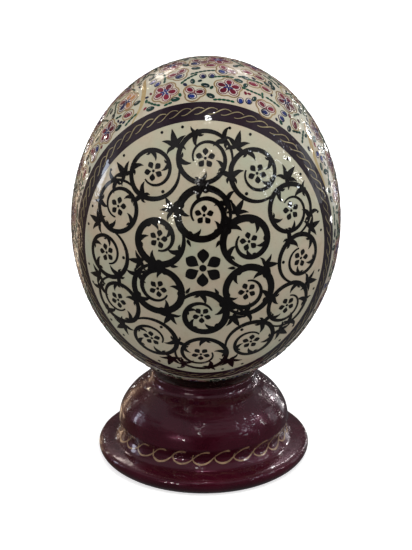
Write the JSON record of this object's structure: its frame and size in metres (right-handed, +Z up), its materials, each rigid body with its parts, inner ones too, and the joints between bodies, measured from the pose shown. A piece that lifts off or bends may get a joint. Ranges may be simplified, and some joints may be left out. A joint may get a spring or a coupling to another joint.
{
  "type": "decorated ostrich egg on a turned stand",
  "caption": "Lacquered ostrich egg with painted flowers and a round scrollwork panel, resting upright in a turned wooden stand with a flared foot.",
  "frame": {"origin": "on the stand's axis, in the plane of its flat underside, so the part stands on Z = 0", "axes": "+Z up along the stand's axis, -Y out of the decorated front, +X to the right seen from the front"},
  "size_m": [0.128, 0.128, 0.1977],
  "materials": {
    "shell": "cream eggshell painted all over and finished in clear gloss lacquer",
    "stand_lacquer": "turned wood in deep maroon high-gloss lacquer",
    "dark_band": "dark aubergine paint under clear gloss lacquer",
    "gold_paint": "hand-brushed gold paint, soft metallic sheen",
    "ink": "black brush paint under clear gloss lacquer",
    "enamel": "raised enamel paint in crimson, pink, blue, green and white"
  },
  "bodies": {
    "root": {"egg": "shell", "stand": "stand_lacquer"}
  },
  "joints": []
}
